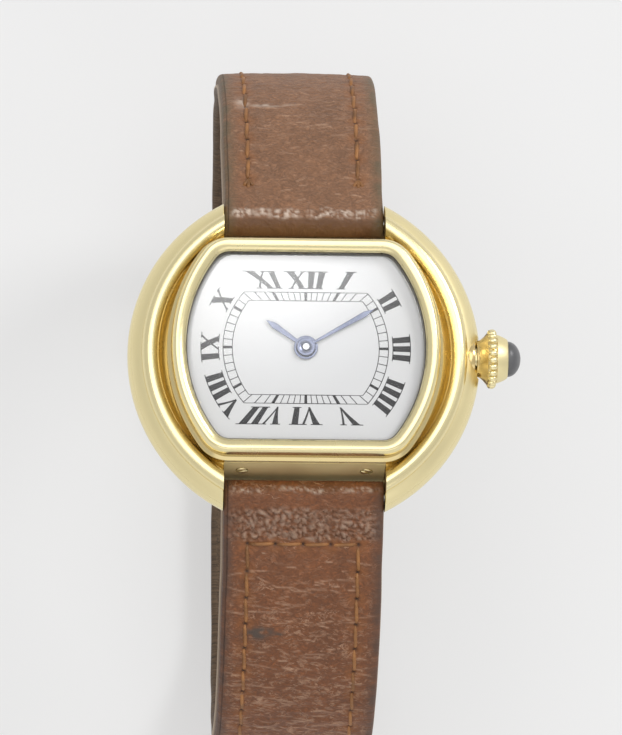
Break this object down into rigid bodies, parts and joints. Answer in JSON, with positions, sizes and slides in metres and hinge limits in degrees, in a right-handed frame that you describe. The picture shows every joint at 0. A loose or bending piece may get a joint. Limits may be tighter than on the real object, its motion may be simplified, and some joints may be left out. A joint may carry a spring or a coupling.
{
  "type": "wristwatch",
  "caption": "Hand-wound wristwatch with a rounded gold case, a truncated oval dial opening, blued hands, a beaded cabochon crown and a buckled brown leather strap.",
  "frame": {"origin": "centre of the flat outer face of the case back", "axes": "+Z the way the dial faces, +Y towards twelve o'clock, +X towards the crown"},
  "size_m": [0.0317, 0.0566, 0.0485],
  "materials": {
    "gold": "polished gold",
    "crystal": "clear",
    "gasket": "matt",
    "steel": "polished steel",
    "dial": "silvered, fine satin",
    "hands": "heat-blued, polished",
    "brass": "gilt",
    "cabochon": "polished dark stone",
    "leather": "grained, worn"
  },
  "bodies": {
    "case": {"case_middle": "gold", "bezel": "gold", "crystal": "crystal", "crystal_gasket": "gasket", "case_back": "gold", "case_back_gasket": "gasket", "strap_bar_upper": "steel", "strap_bar_lower": "steel", "end_screws": "gold", "crown_tube": "steel", "dial": "dial", "main_plate": "brass", "barrel_bridge": "brass", "train_bridge": "brass", "pallet_bridge": "brass", "bridge_screws": "steel", "movement_ring": "brass", "strap_upper": "leather", "strap_lower": "leather", "fixed_keeper": "leather"},
    "minute": {"minute_hand": "hands", "cannon_pinion": "steel", "centre_wheel": "brass"},
    "barrel_drum": {"barrel": "brass"},
    "third": {"third_wheel": "brass"},
    "fourth": {"fourth_wheel": "brass"},
    "escape": {"escape_wheel": "steel"},
    "pallet": {"pallet_lever": "steel"},
    "balance": {"balance_wheel": "brass", "hairspring": "steel"},
    "hour": {"hour_hand": "hands", "hour_wheel": "brass"},
    "minute_work": {"minute_wheel": "brass"},
    "clutch": {"sliding_clutch": "steel", "winding_pinion": "steel"},
    "crown": {"crown": "gold", "crown_cabochon": "cabochon", "winding_stem": "steel"},
    "free_keeper": {"free_keeper": "leather"},
    "buckle": {"buckle_frame": "gold", "buckle_bar": "steel"},
    "tongue": {"buckle_tongue": "gold"}
  },
  "joints": [
    {"name": "minute_turn", "type": "hinge", "parent": "case", "child": "minute", "pos_m": [0, 0, 0.006], "axis": [0, 0, -1], "continuous": true},
    {"name": "hour_turn", "type": "hinge", "parent": "case", "child": "hour", "pos_m": [0, 0, 0.006], "axis": [0, 0, -1], "continuous": true},
    {"name": "minute_wheel_turn", "type": "hinge", "parent": "case", "child": "minute_work", "pos_m": [-0.00124, -0.00177, 0.005], "axis": [0, 0, -1], "continuous": true},
    {"name": "barrel_turn", "type": "hinge", "parent": "case", "child": "barrel_drum", "pos_m": [0.00086, 0.00321, 0.003], "axis": [0, 0, -1], "continuous": true},
    {"name": "third_turn", "type": "hinge", "parent": "case", "child": "third", "pos_m": [-0.0027, -0.001, 0.003], "axis": [0, 0, -1], "continuous": true},
    {"name": "fourth_turn", "type": "hinge", "parent": "case", "child": "fourth", "pos_m": [-0.00189, -0.00324, 0.003], "axis": [0, 0, -1], "continuous": true},
    {"name": "escape_turn", "type": "hinge", "parent": "case", "child": "escape", "pos_m": [0.00028, -0.00403, 0.003], "axis": [0, 0, -1], "continuous": true},
    {"name": "pallet_rock", "type": "hinge", "parent": "case", "child": "pallet", "pos_m": [0.0017, -0.00352, 0.003], "axis": [0, 0, 1], "range_deg": [-5, 5]},
    {"name": "balance_swing", "type": "hinge", "parent": "case", "child": "balance", "pos_m": [0.00345, -0.00289, 0.003], "axis": [0, 0, 1], "range_deg": [-135, 135], "stiffness_Nm_per_rad": 0.00000002},
    {"name": "crown_turn", "type": "hinge", "parent": "case", "child": "clutch", "pos_m": [0.0035, 0, 0.0028], "axis": [1, 0, 0], "continuous": true},
    {"name": "crown_pull", "type": "slide", "parent": "clutch", "child": "crown", "axis": [1, 0, 0], "range_m": [0, 0.0008]},
    {"name": "keeper_slide", "type": "slide", "parent": "case", "child": "free_keeper", "axis": [0, 0.958, 0.2869], "range_m": [-0.0003, 0.0004]},
    {"name": "buckle_swing", "type": "hinge", "parent": "case", "child": "buckle", "pos_m": [0, 0.008, -0.03725], "axis": [1, 0, 0], "range_deg": [0, 8]},
    {"name": "tongue_swing", "type": "hinge", "parent": "buckle", "child": "tongue", "pos_m": [0, 0.008, -0.03725], "axis": [1, 0, 0], "range_deg": [0, 12]}
  ],
  "couplings": [
    {"joint": "hour_turn", "follows": "minute_turn", "ratio": 0.083333},
    {"joint": "minute_wheel_turn", "follows": "minute_turn", "ratio": -0.33333},
    {"joint": "barrel_turn", "follows": "minute_turn", "ratio": -0.16667},
    {"joint": "third_turn", "follows": "minute_turn", "ratio": -8},
    {"joint": "fourth_turn", "follows": "minute_turn", "ratio": 60},
    {"joint": "escape_turn", "follows": "minute_turn", "ratio": -600}
  ]
}
